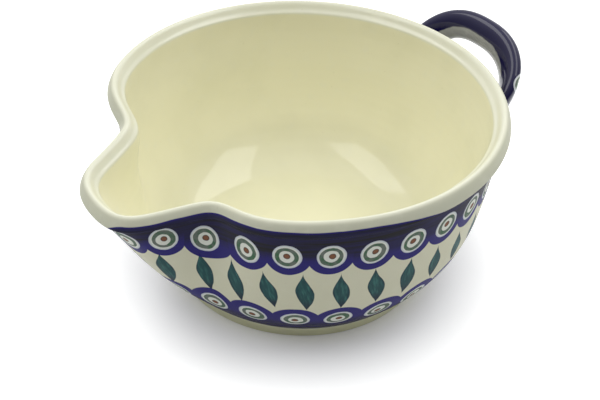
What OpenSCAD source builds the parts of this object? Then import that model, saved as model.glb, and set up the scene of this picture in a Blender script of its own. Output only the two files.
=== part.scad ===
// Batter bowl in glazed stoneware: a round bowl with a pulled, dipped pouring
// spout at -X and an arched loop handle at +X. +Z is up and z = 0 is the ground
// edge of the foot ring. The part is symmetric about the plane y = 0, and the
// origin is midway between the tip of the spout and the back of the handle.

/* [Bowl] */
// Diameter over the lip, away from the spout
rim_d = 240; // [200:1:300]
// Height from the foot to the top of the lip
bowl_h = 117.5; // [100:0.5:150]
// How far the side lies inside the lip's outer edge, where they meet
side_in = 3.5; // [1:0.1:6]
// How far the lower pull of the side curve reaches out past the foot
haunch_out = 32; // [20:0.5:38]
// How far the lower pull of the side curve reaches up from the foot
haunch_up = 34; // [24:0.5:40]
// How far the upper pull of the side curve lies inside the side radius
shoulder_in = 7.3; // [2:0.1:12]
// How far the upper pull of the side curve lies below the lip
shoulder_down = 46.5; // [36:0.5:70]

/* [Lip] */
// Width of the lip from its outer edge to the inner corner
lip_w = 10.5; // [9:0.1:14]
// Height of the lip's outer face
lip_h = 9.3; // [8:0.1:14]
// Radius of the roll along the lip's outer top edge
lip_roll = 6.6; // [3:0.1:7]
// Radius of the roll along the lip's outer lower edge
lip_under = 2; // [0.5:0.1:2.5]
// Distance from the outer edge to the inner end of the lip's crest
crest_in = 7.4; // [7:0.1:8.4]
// Drop of the sloping inner face from the crest to the inner corner
lip_slope = 7; // [3:0.1:9]

/* [Foot and floor] */
// Diameter of the foot ring where it stands
foot_d = 158.5; // [130:0.5:176]
// How far the foot ring widens all round from the ground up to the side
foot_flare = 1.5; // [0:0.1:4]
// Height of the foot ring
foot_h = 7.6; // [6:0.1:12]
// Width of the flat ground edge of the foot ring
foot_edge = 6; // [3:0.5:9]
// Bevel on both sides of the ground edge
foot_bevel = 0.8; // [0.3:0.1:1.5]
// Depth of the hollow inside the foot ring
recess_h = 4; // [2:0.5:5.5]
// Thickness of the floor
floor_t = 8.5; // [6:0.5:12]
// How far inside the foot ring's outer edge the flat part of the floor ends
floor_in = 34.25; // [24:0.25:54]
// How far the lower pull of the inside curve reaches out along the floor
inside_out = 45; // [25:1:50]
// How far the upper pull of the inside curve lies inside the lip's corner
inside_in = 5; // [0:0.5:10]
// How far the upper pull of the inside curve lies below the lip's corner
inside_down = 70; // [50:1:80]

/* [Spout] */
// How far the tip of the spout stands out past the round lip
spout_reach = 21.5; // [10:0.5:30]
// Half width of the pull that squares the tip of the spout
spout_half_w = 34; // [24:0.5:38]
// How far the lip drops at the tip of the spout
spout_drop = 18; // [6:0.5:22]
// Angle from the spout's middle over which the drop fades
spout_fade = 30; // [22:1:36]
// How far the lip is pinched inward beside the spout
pinch_in = 10.6; // [5:0.1:14]
// Angle of the pinch from the spout's middle
pinch_angle = 23.7; // [21:0.1:28]
// Direction of the lip line at the pinch, from the spout's middle
pinch_turn = 150; // [135:1:155]
// Length of the pull from the pinch toward the tip
flank_pull = 27; // [15:0.5:30]
// Length of the pull from the pinch toward the round lip
neck_pull = 15.3; // [10:0.1:22]
// Length of the pull from the round lip toward the pinch
round_pull = 54; // [40:0.5:58]
// Angle from the spout's middle where the lip becomes round
round_angle = 60.8; // [56:0.1:75]

/* [Handle] */
// Half the distance between the two roots
root_half_gap = 41; // [32:0.5:52]
// Depth of the middle of each root below the top of the lip
root_down = 33; // [29:0.5:44]
// How far the roots run straight out from the lip's outer radius line
root_out = -1; // [-4:0.5:6]
// How far the arch stands out beyond the straight roots
arch_out = 25.5; // [15:0.5:40]
// How far the arch climbs above the roots
arch_rise = 29.5; // [0:0.5:34]
// Thickness of the strap
strap_t = 10.4; // [8:0.1:15]
// Height of the strap
strap_h = 18.8; // [14:0.1:24]
// Lean of the strap's upper edge outward
strap_lean = 22; // [0:1:30]
// Thickness of the slip that beds each root on the side
slip_t = 0.8; // [0.4:0.1:1.5]
// Width of the slip's fillet around each root
slip_fillet = 4; // [2:0.1:6]
// Gap left between the slip and the side
seat_gap = 0.15; // [0.1:0.01:0.3]

/* [Mesh] */
// Steps along the lip from the spout's tip to the pinch
tip_steps = 9; // [6:1:14]
// Steps along the lip from the pinch to the round part
neck_steps = 10; // [6:1:14]
// Steps along each half of the round lip
round_steps = 26; // [20:1:30]
// Steps up the side, outside and inside alike
side_steps = 10; // [8:1:12]
// Steps along the handle
arch_steps = 26; // [16:2:36]
// Sides of the strap's cross-section
strap_sides = 20; // [12:4:28]

/* [Hidden] */

cream = "#e6e6d2";
cobalt = "#22204f";

rim_r = rim_d / 2;
foot_r = foot_d / 2;
foot_top_r = foot_r + foot_flare;
side_r = rim_r - side_in;
lip_base_z = bowl_h - lip_h;
corner_z = bowl_h - lip_slope;
corner_r = rim_r - lip_w;
floor_z = recess_h + floor_t;
floor_r = foot_r - floor_in;
recess_r = foot_r - foot_bevel - foot_edge - foot_bevel;

// The widening toward the spout starts slowly at the foot, as these powers set
spread_ease = 1.3;
spread_power = 1.9;
drop_power = 2;

// Steps round the rolls of the lip, and the share of the crest's small fall
roll_steps = 5;
under_steps = 2;
crest_fall_share = 0.04;
mid_slope_shares = [0.45, 0.3];
fillet_steps = 4;

// Powers of the arch seen from above, of its climb, and of the strap's section
arch_power = 2.5;
climb_power = 1.3;
section_power = 2.4;

// Small change of parameter for the direction of the arch, in degrees
turn_step = 0.5;

function bezier(a, b, c, d, t) =
    a * pow(1 - t, 3) + b * 3 * t * pow(1 - t, 2)
    + c * 3 * t * t * (1 - t) + d * pow(t, 3);
function unit(v) = v / norm(v);
function polar(r, angle) = [r * cos(angle), r * sin(angle)];
function flip_y(p) = [p[0], -p[1]];

// Lip line in plan, measured from the spout's middle line round to the handle:
// one curve over the tip, one through the pinch, then the round part.
tip_x = rim_r + spout_reach;
pinch_p = polar(rim_r - pinch_in, pinch_angle);
pinch_dir = polar(1, pinch_turn);
round_p = polar(rim_r, round_angle);
round_dir = polar(1, round_angle + 90);

function tip_point(t) = bezier(
    [tip_x, 0], [tip_x, spout_half_w],
    pinch_p - pinch_dir * flank_pull, pinch_p, t);
function neck_point(t) = bezier(
    pinch_p, pinch_p + pinch_dir * neck_pull,
    round_p - round_dir * round_pull, round_p, t);

half_line = concat(
    [for (i = [0:tip_steps - 1]) tip_point(i / tip_steps)],
    [for (i = [0:neck_steps - 1]) neck_point(i / neck_steps)],
    [for (i = [0:round_steps])
        polar(rim_r, round_angle + (180 - round_angle) * i / round_steps)]);
half_n = len(half_line);
lip_line = concat(half_line, [for (i = [half_n - 2:-1:1]) flip_y(half_line[i])]);
lip_n = len(lip_line);

// Outward normal of the lip line, and the drop of the lip, at each point
lip_normal = [for (i = [0:lip_n - 1])
    let (run = unit(lip_line[(i + 1) % lip_n] - lip_line[(i + lip_n - 1) % lip_n]))
    [run[1], -run[0]]];
lip_drop = [for (p = lip_line)
    let (angle = atan2(p[1], p[0]))
    spout_drop * exp(-pow(angle / spout_fade, 2))];

// A level runs from 0 at the foot to 1 at the lip
function level(z) = max(0, min(1, (z - foot_h) / (lip_base_z - foot_h)));
function spread(l) = pow(1 - pow(1 - l, spread_ease), spread_power);

// One ring of the bowl: round at the foot, and at the lip a line that runs at
// an even distance inside the lip line. The inset is that distance at the lip.
function bowl_ring(r, inset, z) =
    let (l = level(z), s = spread(l))
    [for (i = [0:lip_n - 1])
        let (
            p = lip_line[i],
            out = r + s * (norm(p) - rim_r + inset),
            q = unit(p) * out - lip_normal[i] * inset * s
        )
        [-q[0], -q[1], z - lip_drop[i] * pow(l, drop_power)]];

// Side curve outside, as radius and height
function side_point(t) = bezier(
    [foot_top_r, foot_h],
    [foot_top_r + haunch_out, foot_h + haunch_up],
    [side_r - shoulder_in, lip_base_z - shoulder_down],
    [side_r, lip_base_z], t);
// Side curve inside, from the lip's inner corner down to the floor
function inside_point(t) = bezier(
    [corner_r, corner_z],
    [corner_r - inside_in, corner_z - inside_down],
    [floor_r + inside_out, floor_z],
    [floor_r, floor_z], t);

foot_rings = [
    bowl_ring(recess_r, 0, recess_h),
    bowl_ring(recess_r, 0, foot_bevel),
    bowl_ring(recess_r + foot_bevel, 0, 0),
    bowl_ring(foot_r - foot_bevel, 0, 0),
    bowl_ring(foot_r, 0, foot_bevel)];
side_rings = [for (i = [0:side_steps])
    let (p = side_point(i / side_steps))
    bowl_ring(p[0], side_in, p[1])];
under_rings = [for (i = [0:under_steps])
    let (angle = 90 * i / under_steps)
    lip_ring(lip_under * (1 - sin(angle)), lip_h - lip_under * (1 - cos(angle)))];
roll_rings = [for (i = [0:roll_steps])
    let (angle = 90 * i / roll_steps)
    lip_ring(lip_roll * (1 - cos(angle)), lip_roll * (1 - sin(angle)))];
slope_w = lip_w - crest_in;
inner_lip_rings = [
    lip_ring(crest_in, lip_slope * crest_fall_share),
    lip_ring(crest_in + slope_w * mid_slope_shares[0], lip_slope * mid_slope_shares[1])];
inside_rings = [for (i = [0:side_steps])
    let (p = inside_point(i / side_steps))
    bowl_ring(p[0], lip_w, p[1])];

// One ring of the lip, by its distance inside the lip line and below the top
function lip_ring(inset, below) = bowl_ring(rim_r - inset, inset, bowl_h - below);

// Radius of the outer side at a height, true to the rings of the side
side_table = [for (i = [0:side_steps])
    let (p = side_point(i / side_steps)) [p[1], p[0]]];
function side_radius(z) = lookup(z, side_table);

// Centre line of the handle's arch, with the angle from -90 to 90 degrees
root_x = rim_r + root_out;
root_z = bowl_h - root_down;
function side_share(angle) = pow(abs(cos(angle)), 2 / arch_power);
function across_share(angle) = sign(angle) * pow(abs(sin(angle)), 2 / arch_power);
function arch_point(angle) = [
    root_x + arch_out * side_share(angle),
    root_half_gap * across_share(angle),
    root_z + arch_rise * pow(side_share(angle), climb_power)];
function arch_run(angle) = unit(
    arch_point(min(angle + turn_step, 90)) - arch_point(max(angle - turn_step, -90)));

// Unit section of the strap, a rounded oblong
function power_cos(a) = sign(cos(a)) * pow(abs(cos(a)), 2 / section_power);
function power_sin(a) = sign(sin(a)) * pow(abs(sin(a)), 2 / section_power);

// Points of the strap's section on two axes, grown by a margin all round
function section(out_axis, up_axis, margin) = [for (j = [0:strap_sides - 1])
    let (a = 360 * j / strap_sides)
    out_axis * (strap_t / 2 + margin) * power_cos(a)
    - up_axis * (strap_h / 2 + margin) * power_sin(a)];
function lean_out(out_axis, up_axis) =
    out_axis * cos(strap_lean) - up_axis * sin(strap_lean);
function lean_up(out_axis, up_axis) =
    out_axis * sin(strap_lean) + up_axis * cos(strap_lean);

function strap_ring(angle) =
    let (
        run = arch_run(angle),
        out_axis = unit(cross(run, [0, 0, 1])),
        up_axis = cross(out_axis, run),
        centre = arch_point(angle)
    )
    [for (p = section(lean_out(out_axis, up_axis), lean_up(out_axis, up_axis), 0))
        centre + p];

// Section where a root meets the side, each point standing off the side
root_out_axis = lean_out([0, -1, 0], [0, 0, 1]);
root_up_axis = lean_up([0, -1, 0], [0, 0, 1]);
function on_side(p, off) =
    let (r = side_radius(p[2]) + off)
    [sqrt(r * r - p[1] * p[1]), p[1], p[2]];
function root_ring(margin, off) =
    [for (p = section(root_out_axis, root_up_axis, margin))
        on_side([0, -root_half_gap, root_z] + p, off)];
// Section at the outer end of a root's straight run
straight_ring = [for (p = section(root_out_axis, root_up_axis, 0))
    [root_x, p[1] - root_half_gap, p[2] + root_z]];
function root_pole(off) = on_side([0, -root_half_gap, root_z], off);
function mirror_ring(ring) =
    [for (j = [0:strap_sides - 1]) let (p = ring[j]) [p[0], -p[1], p[2]]];

slip_top = seat_gap + slip_t;
// The arch is stepped evenly in angle and starts just off its straight ends
arch_start = 86;
strap_rings = [for (i = [0:arch_steps])
    strap_ring(-arch_start + 2 * arch_start * i / arch_steps)];
strap_end = root_ring(0, slip_top);

// The handle's back is the last thing along +X, as the spout's tip is along -X
handle_back = max([for (ring = strap_rings) for (p = ring) p[0]]);
axis_x = (tip_x - handle_back) / 2;

// Closed skin over a list of rings, with a point at either end
module skin(first_pole, rings, last_pole) {
    n = len(rings[0]);
    last = len(rings) - 1;
    pole = 1 + (last + 1) * n;
    points = concat([first_pole], [for (ring = rings) each ring], [last_pole]);
    function at(k, j) = 1 + k * n + j % n;
    faces = concat(
        [for (j = [0:n - 1]) [0, at(0, j), at(0, j + 1)]],
        [for (k = [0:last - 1]) for (j = [0:n - 1])
            each [
                [at(k, j), at(k + 1, j), at(k + 1, j + 1)],
                [at(k, j), at(k + 1, j + 1), at(k, j + 1)]]],
        [for (j = [0:n - 1]) [at(last, j), pole, at(last, j + 1)]]);
    polyhedron(points, faces);
}

module bowl_body() {
    color(cream) translate([axis_x, 0, 0]) skin(
        [0, 0, recess_h],
        concat(foot_rings, side_rings, under_rings, roll_rings, inner_lip_rings, inside_rings),
        [0, 0, floor_z]);
}

module loop_handle() {
    color(cobalt) translate([axis_x, 0, 0]) skin(
        root_pole(slip_top),
        concat(
            [strap_end, straight_ring],
            strap_rings,
            [mirror_ring(straight_ring), mirror_ring(strap_end)]),
        let (p = root_pole(slip_top)) [p[0], -p[1], p[2]]);
}

// Slip under and around one root: a thin bed with a hollow fillet round it
module root_slip() {
    fillet_rings = [for (i = [0:fillet_steps])
        let (angle = 90 * i / fillet_steps)
        root_ring(slip_fillet * (1 - sin(angle)), slip_top + slip_fillet * (1 - cos(angle)))];
    skin(
        root_pole(seat_gap),
        concat(
            [root_ring(0, seat_gap), root_ring(slip_fillet, seat_gap)],
            fillet_rings,
            [strap_end]),
        root_pole(slip_top));
}

module left_root_slip() {
    color(cobalt) translate([axis_x, 0, 0]) root_slip();
}

module right_root_slip() {
    color(cobalt) translate([axis_x, 0, 0]) mirror([0, 1, 0]) root_slip();
}

bowl_body();
loop_handle();
left_root_slip();
right_root_slip();
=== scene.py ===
"""Batter bowl in glazed stoneware: dressed surfaces, ornament, glaze, light and camera.

Lengths are in metres in the CAD row frame: +X from the spout to the handle, +Z up,
z = 0 under the foot ring. The shapes repeat the CAD's rules with finer steps.
"""
import math
import random

import bpy
import numpy as np
from mathutils import Matrix, Vector


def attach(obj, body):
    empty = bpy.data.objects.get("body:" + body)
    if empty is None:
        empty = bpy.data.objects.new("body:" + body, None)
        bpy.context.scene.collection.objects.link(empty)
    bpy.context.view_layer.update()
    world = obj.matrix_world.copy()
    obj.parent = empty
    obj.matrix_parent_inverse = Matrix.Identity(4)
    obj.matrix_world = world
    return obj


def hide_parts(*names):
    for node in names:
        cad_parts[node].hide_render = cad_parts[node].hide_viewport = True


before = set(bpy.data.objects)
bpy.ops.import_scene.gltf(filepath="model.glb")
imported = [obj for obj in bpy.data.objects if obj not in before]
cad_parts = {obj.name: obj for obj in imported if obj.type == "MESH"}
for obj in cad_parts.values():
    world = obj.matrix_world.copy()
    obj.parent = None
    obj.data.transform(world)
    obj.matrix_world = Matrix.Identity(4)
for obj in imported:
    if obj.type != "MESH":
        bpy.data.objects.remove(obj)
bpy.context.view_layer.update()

MM = 0.001

# ---------------------------------------------------------------- bowl sizes
RIM_R = 120 * MM
BOWL_H = 117.5 * MM
SIDE_IN = 3.5 * MM
HAUNCH_OUT, HAUNCH_UP = 32 * MM, 34 * MM
SHOULDER_IN, SHOULDER_DOWN = 7.3 * MM, 46.5 * MM
LIP_W, LIP_H, LIP_UNDER, LIP_SLOPE = 10.5 * MM, 9.3 * MM, 2 * MM, 7 * MM
# The lip's outer face in section: how far in and down it rounds over, and how flatly
ROLL_IN, ROLL_DOWN, ROLL_POWER = 4.2 * MM, LIP_H - LIP_UNDER, 1.25
# The lip's inner face in section, as shares of its width and of its fall: it falls from the
# crest, flattens to a narrow ledge and turns over an edge into the inside wall
INNER_FACE_SHARES = (
    (0.13, 0.03), (0.26, 0.11), (0.37, 0.22), (0.47, 0.36), (0.57, 0.5), (0.67, 0.62),
    (0.78, 0.71), (0.88, 0.78), (0.94, 0.84), (0.98, 0.93), (1, 1.05))
FOOT_R, FOOT_TOP_R, FOOT_H = 79.25 * MM, 80.75 * MM, 7.6 * MM
FOOT_EDGE, FOOT_BEVEL, RECESS_H = 6 * MM, 0.8 * MM, 4 * MM
RECESS_R = FOOT_R - FOOT_BEVEL - FOOT_EDGE - FOOT_BEVEL
# The rounded corner of the hollow under the floor: a share of its radius, and two depths
RECESS_CORNER_SHARE, RECESS_CORNER_HIGH, RECESS_CORNER_LOW = 0.985, 0.2 * MM, 1 * MM
FLOOR_Z, FLOOR_R = 12.5 * MM, 45 * MM
INSIDE_OUT, INSIDE_IN, INSIDE_DOWN = 45 * MM, 5 * MM, 70 * MM

# -------------------------------------------------------------- spout sizes
TIP_X = RIM_R + 21.5 * MM
SPOUT_HALF_W, SPOUT_DROP, SPOUT_FADE = 34 * MM, 18 * MM, 30
PINCH_R, PINCH_ANGLE, PINCH_TURN = RIM_R - 10.6 * MM, 23.7, 150
FLANK_PULL, NECK_PULL, ROUND_PULL, ROUND_ANGLE = 27 * MM, 15.3 * MM, 54 * MM, 60.8
SPREAD_EASE, SPREAD_POWER, DROP_POWER = 1.3, 1.9, 2

# ------------------------------------------------------------- handle sizes
ROOT_HALF_GAP, ROOT_Z, ROOT_X = 41 * MM, BOWL_H - 33 * MM, RIM_R - 1 * MM
ARCH_OUT, ARCH_RISE = 25.5 * MM, 29.5 * MM
STRAP_T, STRAP_H, STRAP_LEAN = 10.4 * MM, 18.8 * MM, 22
SLIP_TOP, SEAT_GAP, SLIP_FILLET = 0.95 * MM, 0.15 * MM, 4 * MM
ARCH_POWER, CLIMB_POWER, SECTION_POWER = 2.5, 1.3, 2.4
ARCH_START = 86

SIDE_R = RIM_R - SIDE_IN
LIP_BASE_Z = BOWL_H - LIP_H
CORNER_R, CORNER_Z = RIM_R - LIP_W, BOWL_H - LIP_SLOPE

# -------------------------------------------------------------- mesh density
TIP_STEPS, NECK_STEPS, ROUND_STEPS = 88, 96, 132
SIDE_STEPS, INSIDE_STEPS = 56, 60
ROLL_STEPS, UNDER_STEPS = 16, 5
STRAP_STEPS, STRAP_SIDES, FILLET_STEPS = 110, 56, 8
# Passes that even out the bends where the parts of the lip line meet
EVEN_PASSES = 24
# The same for the rings inside, more for each ring below the lip up to a limit
EASE_STEP, EASE_PASSES = 30, 240
# Rings across the hollow under the floor, up the foot ring and across the floor
RECESS_SHARES = (0.2, 0.4, 0.6, 0.8, 0.95)
FOOT_SHARES, FLOOR_SHARES = (0.3, 0.6, 0.9), (0.75, 0.5, 0.25)
# Rings on the crest that the side's paint leaves to the plain glaze
CREST_RINGS = 3


def unit(v):
    return v / np.linalg.norm(v)


def polar(r, degrees):
    a = math.radians(degrees)
    return np.array([r * math.cos(a), r * math.sin(a)])


def bezier(a, b, c, d, steps, ends=True):
    """Points along a cubic curve; without ends, its last point is left to the next curve."""
    t = np.arange(steps + 1 if ends else steps)[:, None] / steps
    a, b, c, d = (np.array(p, float) for p in (a, b, c, d))
    return (a * (1 - t) ** 3 + b * 3 * t * (1 - t) ** 2
            + c * 3 * t * t * (1 - t) + d * t ** 3)


def eased(ring, passes):
    """A closed ring of points, each drawn toward its neighbours once a pass."""
    for _ in range(passes):
        ring = (np.roll(ring, 1, 0) + 2 * ring + np.roll(ring, -1, 0)) / 4
    return ring


# ------------------------------------------------------------------ lip line
def make_lip_line():
    """The lip in plan from the handle's side round past the spout's tip and back."""
    pinch, pinch_dir = polar(PINCH_R, PINCH_ANGLE), polar(1, PINCH_TURN)
    turn, turn_dir = polar(RIM_R, ROUND_ANGLE), polar(1, ROUND_ANGLE + 90)
    tip = bezier((TIP_X, 0), (TIP_X, SPOUT_HALF_W), pinch - pinch_dir * FLANK_PULL,
                 pinch, TIP_STEPS, False)
    neck = bezier(pinch, pinch + pinch_dir * NECK_PULL, turn - turn_dir * ROUND_PULL,
                  turn, NECK_STEPS, False)
    arc = np.array([polar(RIM_R, ROUND_ANGLE + (180 - ROUND_ANGLE) * i / ROUND_STEPS)
                    for i in range(ROUND_STEPS + 1)])
    half = np.concatenate([tip, neck, arc])
    other = half[1:-1][::-1] * [1, -1]
    return eased(np.roll(np.concatenate([half, other]), -(len(half) - 1), axis=0), EVEN_PASSES)


LIP = make_lip_line()
COLUMNS = len(LIP)
_run = np.roll(LIP, -1, 0) - np.roll(LIP, 1, 0)
_run /= np.linalg.norm(_run, axis=1)[:, None]
LIP_NORMAL = np.stack([_run[:, 1], -_run[:, 0]], -1)
LIP_REACH = np.linalg.norm(LIP, axis=1)
LIP_DROP = SPOUT_DROP * np.exp(
    -(np.degrees(np.arctan2(LIP[:, 1], LIP[:, 0])) / SPOUT_FADE) ** 2)


def level(z):
    """The share of the way up from the foot ring to the lip."""
    return min(1.0, max(0.0, (z - FOOT_H) / (LIP_BASE_Z - FOOT_H)))


def bowl_ring(r, inset, z):
    """One ring about the bowl's axis: round at the foot, even with the lip at the top."""
    up = level(z)
    s = (1 - (1 - up) ** SPREAD_EASE) ** SPREAD_POWER
    out = r + s * (LIP_REACH - RIM_R + inset)
    q = LIP / LIP_REACH[:, None] * out[:, None] - LIP_NORMAL * inset * s
    return np.stack([-q[:, 0], -q[:, 1], z - LIP_DROP * up ** DROP_POWER], -1)


def lip_ring(inset, below):
    """A ring in from the lip's outer edge and below its crest."""
    return bowl_ring(RIM_R - inset, inset, BOWL_H - below)


# ------------------------------------------------------------- handle curves
def side_share(a):
    """How far the arch stands out at an angle, as a share of its reach."""
    return abs(math.cos(a)) ** (2 / ARCH_POWER)


def arch_point(degrees):
    """The middle of the strap, from -90 at one root over 0 at the back to 90 at the other."""
    a = math.radians(degrees)
    across = math.copysign(abs(math.sin(a)) ** (2 / ARCH_POWER), math.sin(a))
    return np.array([ROOT_X + ARCH_OUT * side_share(a), ROOT_HALF_GAP * across,
                     ROOT_Z + ARCH_RISE * side_share(a) ** CLIMB_POWER])


def section(out_axis, up_axis, margin=0.0):
    """The strap's rounded oblong, leaned so that its upper edge lies further out."""
    lean = math.radians(STRAP_LEAN)
    out = out_axis * math.cos(lean) - up_axis * math.sin(lean)
    up = out_axis * math.sin(lean) + up_axis * math.cos(lean)
    a = 2 * math.pi * np.arange(STRAP_SIDES) / STRAP_SIDES
    c = np.sign(np.cos(a)) * abs(np.cos(a)) ** (2 / SECTION_POWER)
    s = np.sign(np.sin(a)) * abs(np.sin(a)) ** (2 / SECTION_POWER)
    return (np.outer(c * (STRAP_T / 2 + margin), out)
            - np.outer(s * (STRAP_H / 2 + margin), up))


def strap_ring(degrees):
    """The strap's section square to the arch."""
    step = 0.5
    run = unit(arch_point(min(degrees + step, 90)) - arch_point(max(degrees - step, -90)))
    out_axis = unit(np.cross(run, [0, 0, 1]))
    return arch_point(degrees) + section(out_axis, np.cross(out_axis, run))


SIDE_PROFILE = bezier(
    (FOOT_TOP_R, FOOT_H), (FOOT_TOP_R + HAUNCH_OUT, FOOT_H + HAUNCH_UP),
    (SIDE_R - SHOULDER_IN, LIP_BASE_Z - SHOULDER_DOWN), (SIDE_R, LIP_BASE_Z), SIDE_STEPS)
INSIDE_PROFILE = bezier(
    (CORNER_R, CORNER_Z), (CORNER_R - INSIDE_IN, CORNER_Z - INSIDE_DOWN),
    (FLOOR_R + INSIDE_OUT, FLOOR_Z), (FLOOR_R, FLOOR_Z), INSIDE_STEPS)


def root_ring(margin, off):
    """The strap's section laid on the side at the root with y < 0."""
    p = section(np.array([0, -1.0, 0]), np.array([0, 0, 1.0]), margin)
    y, z = p[:, 1] - ROOT_HALF_GAP, p[:, 2] + ROOT_Z
    r = np.interp(z, SIDE_PROFILE[:, 1], SIDE_PROFILE[:, 0]) + off
    return np.stack([np.sqrt(r * r - y * y), y, z], -1)


BACK_TRIES = 40
HANDLE_BACK = max(strap_ring(-ARCH_START + ARCH_START * i / BACK_TRIES)[:, 0].max()
                  for i in range(BACK_TRIES + 1))
# The bowl's axis: the origin lies midway between the spout's tip and the handle's back
AXIS = np.array([(TIP_X - HANDLE_BACK) / 2, 0, 0])


# ----------------------------------------------------------------- mesh code
def grid_mesh(name, rings, first_pole=None, last_pole=None):
    """A skin of quads over rings, each closed round; poles close the two ends."""
    n, last = len(rings[0]), len(rings) - 1
    verts = [tuple(p) for ring in rings for p in ring]
    faces, cells = [], []
    for k in range(last):
        for j in range(n):
            i = (j + 1) % n
            faces.append((k * n + j, k * n + i, (k + 1) * n + i, (k + 1) * n + j))
            cells.append((k, j))
    for pole, k, flip in ((first_pole, 0, True), (last_pole, last, False)):
        if pole is None:
            continue
        verts.append(tuple(pole))
        for j in range(n):
            i = (j + 1) % n
            tri = (k * n + j, k * n + i, len(verts) - 1)
            faces.append(tri[::-1] if flip else tri)
            cells.append((k, j))
    mesh = bpy.data.meshes.new(name)
    mesh.from_pydata(verts, [], faces)
    mesh.polygons.foreach_set("use_smooth", [True] * len(faces))
    mesh.update()
    obj = bpy.data.objects.new(name, mesh)
    bpy.context.scene.collection.objects.link(obj)
    return obj, cells


def corner_attribute(obj, name, kind, values):
    """A value for each face corner, so that nothing blends across a change of motif."""
    flat = np.asarray(values, np.float32)
    attribute = obj.data.attributes.new(name, kind, "CORNER")
    attribute.data.foreach_set("vector" if kind == "FLOAT_VECTOR" else "value", flat.ravel())


# ------------------------------------------------------- ornament on the side
# Distances down the side start under the lip, and angles are about the bowl's axis. Six eyes
# lie round the spout, at their own distances down, and the rest share what is left between.
PINCH_GAP, SPOUT_EYE_STEP, SPOUT_EYE_FIRST = 27.2 * MM, 21.8 * MM, -49.6 * MM
SPOUT_EYE_DOWNS = [17.2 * MM, 14.4 * MM, 15.2 * MM, 15.7 * MM, 13.4 * MM, 18.4 * MM]
ROUND_EYES = 26
EYE_DOWN, EYE_ROW_Z = 16.7 * MM, 92 * MM
LEAF_COUNT, LEAF_FIRST, LEAF_TOP, LEAF_BOTTOM = 35, -167.2, 30 * MM, 61.8 * MM
LOWER_COUNT, LOWER_FIRST, LOWER_DOWN = 26, -156.2, 76.5 * MM
# How far a motif strays down the side, and how far it and a leaf turn, in radians
JITTER, EYE_TURN, LEAF_TURN = 0.5 * MM, 0.05, 0.08
# Columns of the grid either way of a place that set its direction round the bowl
ROUND_SPAN = 1.5


class Side:
    """The outer side as a grid, with ways to find a place and a frame on it."""

    def __init__(self):
        self.profile = SIDE_PROFILE[::-1]
        self.grid = np.array([bowl_ring(r, SIDE_IN, z) for r, z in self.profile])
        steps = np.linalg.norm(np.diff(self.profile, axis=0), axis=1)
        self.down = np.concatenate([[0], np.cumsum(steps)])

    def row(self, down):
        """The row of the grid, with its fraction, at a distance down the side."""
        return float(np.interp(down, self.down, np.arange(len(self.down))))

    def ring_lengths(self, z):
        """Distance round the ring at a height, zero at the spout's tip."""
        k = int(abs(self.profile[:, 1] - z).argmin())
        ring = self.grid[k]
        steps = np.linalg.norm(np.roll(ring, -1, 0) - ring, axis=1)
        along = np.concatenate([[0], np.cumsum(steps)])
        tip = along[COLUMNS // 2]
        return along - tip, along[-1]

    def at(self, row, column):
        """The point at a row and a column, both with fractions."""
        k = min(int(row), len(self.grid) - 2)
        f, j = row - k, int(math.floor(column))
        g = column - j
        a, b = j % COLUMNS, (j + 1) % COLUMNS
        top = self.grid[k, a] * (1 - g) + self.grid[k, b] * g
        low = self.grid[k + 1, a] * (1 - g) + self.grid[k + 1, b] * g
        return top * (1 - f) + low * f

    def place(self, down, column, turn=0.0):
        """A motif's centre with its two directions on the surface: round and down."""
        row = self.row(down)
        here = self.at(row, column)
        round_dir = unit(self.at(row, column + ROUND_SPAN) - self.at(row, column - ROUND_SPAN))
        below = self.at(min(row + 1, len(self.grid) - 1), column)
        above = self.at(max(row - 1, 0), column)
        normal = unit(np.cross(below - above, round_dir))
        down_dir = np.cross(round_dir, normal)
        c, s = math.cos(turn), math.sin(turn)
        return here, round_dir * c + down_dir * s, down_dir * c - round_dir * s


def column_at_length(side, z, length):
    """The grid's column at a distance round the ring at a height, from the spout's tip."""
    along, total = side.ring_lengths(z)
    low = along[0]
    return float(np.interp((length - low) % total + low, along, np.arange(COLUMNS + 1)))


def column_at_azimuth(side, down, degrees):
    """The grid's column at an angle about the bowl's axis, at a distance down the side."""
    k = int(round(side.row(down)))
    a = np.unwrap(np.arctan2(side.grid[k, :, 1], side.grid[k, :, 0]))
    a = np.concatenate([a, [a[0] + 2 * math.pi * np.sign(a[-1] - a[0])]])
    lo, hi = min(a[0], a[-1]), max(a[0], a[-1])
    target = (math.radians(degrees) - lo) % (2 * math.pi) + lo
    order = np.argsort(a)
    return float(np.interp(target, a[order], np.arange(COLUMNS + 1)[order]))


def motifs(side, columns, downs, rng, turn=EYE_TURN):
    """Sorted motifs, each with its column, centre, directions and a seed."""
    found = []
    for column, down in zip(columns, downs):
        spot = side.place(down + rng.uniform(-1, 1) * JITTER, column, rng.uniform(-turn, turn))
        found.append((column % COLUMNS, *spot, rng.uniform(0, 1)))
    return sorted(found, key=lambda m: m[0])


def offsets(points, motif):
    """How far points lie from a motif's centre, round and down, with the motif's seed."""
    d = points - motif[1]
    return np.stack([d @ motif[2], d @ motif[3], np.full(len(points), motif[4])], -1)


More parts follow.
